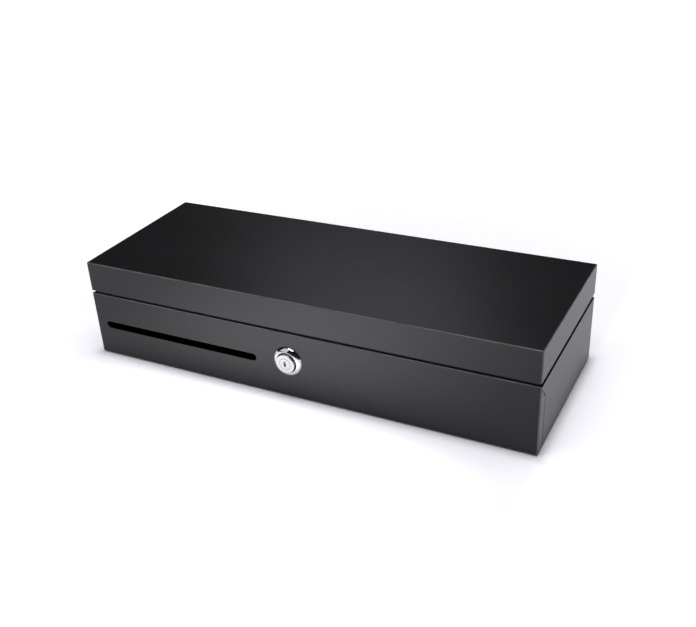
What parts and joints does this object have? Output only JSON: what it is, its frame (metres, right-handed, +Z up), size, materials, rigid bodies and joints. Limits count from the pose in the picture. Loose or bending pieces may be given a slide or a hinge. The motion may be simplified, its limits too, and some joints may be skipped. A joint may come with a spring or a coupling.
{
  "type": "cash drawer",
  "caption": "Flip-top steel cash drawer: hinged lid with key lock, solenoid latch, cheque slot, coin till and upright note till.",
  "frame": {"origin": "centre of the cabinet's 460 x 170 mm footprint, on the plane the rubber feet stand on", "axes": "+X to the right as the user faces the front panel, +Y from the front to the hinge at the back, +Z up"},
  "size_m": [0.46, 0.1782, 0.102],
  "materials": {
    "powder_steel": "satin fine-textured powder coat",
    "inner_steel": "plain satin black paint",
    "zinc_steel": "bright zinc plate",
    "rubber": "matt",
    "till_plastic": "fine moulded grain",
    "cup_plastic": "fine moulded grain, smooth scoop",
    "chrome": "polished",
    "lock_nickel": "satin nickel, turned face",
    "bobbin_plastic": "moulded nylon",
    "copper_wire": "enamelled copper winding",
    "spring_steel": "drawn spring wire",
    "switch_plastic": "moulded",
    "button_plastic": "moulded",
    "cable_jacket": "smooth extruded jacket",
    "black_rivet": "satin black over the rivet heads"
  },
  "bodies": {
    "base": {"base_pan": "powder_steel", "front_panel": "powder_steel", "panel_screws": "zinc_steel", "rubber_feet": "rubber", "tray_support": "inner_steel", "coin_tray": "till_plastic", "coin_cup_1": "cup_plastic", "coin_cup_2": "cup_plastic", "coin_cup_3": "cup_plastic", "coin_cup_4": "cup_plastic", "coin_cup_5": "cup_plastic", "coin_cup_6": "cup_plastic", "coin_cup_7": "cup_plastic", "coin_cup_8": "cup_plastic", "bill_tray": "till_plastic", "bill_divider_1": "till_plastic", "bill_divider_2": "till_plastic", "bill_divider_3": "till_plastic", "bill_divider_4": "till_plastic", "lock_bezel": "chrome", "lock_body": "lock_nickel", "lock_nut": "zinc_steel", "latch_bracket": "zinc_steel", "latch_pivot_pin": "zinc_steel", "solenoid_frame": "zinc_steel", "coil_bobbin": "bobbin_plastic", "coil_winding": "copper_wire", "return_spring": "spring_steel", "switch_body": "switch_plastic", "data_socket": "switch_plastic", "wire_loom": "cable_jacket", "hinge_leaf_base": "zinc_steel", "hinge_pin": "spring_steel", "base_rivets": "black_rivet", "hinge_spring_left": "spring_steel", "hinge_spring_right": "spring_steel", "stay_pivots": "zinc_steel"},
    "lid": {"lid_shell": "powder_steel", "lid_stiffener": "inner_steel", "strike": "zinc_steel", "lid_pads": "rubber", "hinge_leaf_lid": "zinc_steel", "lid_rivets": "black_rivet", "stay_brackets": "inner_steel", "stay_pins": "zinc_steel"},
    "stay_left": {"stay_left": "zinc_steel"},
    "stay_right": {"stay_right": "zinc_steel"},
    "lock_plug": {"lock_plug": "lock_nickel", "lock_cam": "zinc_steel", "cam_screw": "zinc_steel"},
    "latch_hook": {"latch_hook": "zinc_steel"},
    "plunger": {"plunger": "zinc_steel", "link_pin": "zinc_steel"},
    "switch_button": {"switch_button": "button_plastic"}
  },
  "joints": [
    {"name": "lid_hinge", "type": "hinge", "parent": "base", "child": "lid", "pos_m": [0, 0.085, 0.07], "axis": [-1, 0, 0], "range_deg": [0, 90], "deforming": ["hinge_spring_left", "hinge_spring_right"]},
    {"name": "stay_left_swing", "type": "hinge", "parent": "base", "child": "stay_left", "pos_m": [-0.2252, 0.07316, 0.0446], "axis": [-1, 0, 0], "range_deg": [0, 45.5]},
    {"name": "stay_right_swing", "type": "hinge", "parent": "base", "child": "stay_right", "pos_m": [0.2252, 0.07316, 0.0446], "axis": [-1, 0, 0], "range_deg": [0, 45.5]},
    {"name": "key_turn", "type": "hinge", "parent": "base", "child": "lock_plug", "pos_m": [-0.0055, -0.085, 0.039], "axis": [0, 1, 0], "range_deg": [0, 90]},
    {"name": "plunger_slide", "type": "slide", "parent": "base", "child": "plunger", "axis": [0, -1, 0], "range_m": [0, 0.00385], "deforming": ["return_spring"]},
    {"name": "latch_swing", "type": "hinge", "parent": "base", "child": "latch_hook", "pos_m": [0.018, -0.041, 0.017], "axis": [1, 0, 0], "range_deg": [0, 18.2]},
    {"name": "switch_press", "type": "slide", "parent": "base", "child": "switch_button", "axis": [0, 1, 0], "range_m": [0, 0.0021]}
  ],
  "couplings": [
    {"joint": "stay_left_swing", "follows": "lid_hinge", "ratio": 0.5},
    {"joint": "stay_right_swing", "follows": "lid_hinge", "ratio": 0.5},
    {"joint": "latch_swing", "follows": "plunger_slide", "rad_per_m": 81.594},
    {"joint": "switch_press", "follows": "plunger_slide", "ratio": 0.53243}
  ]
}
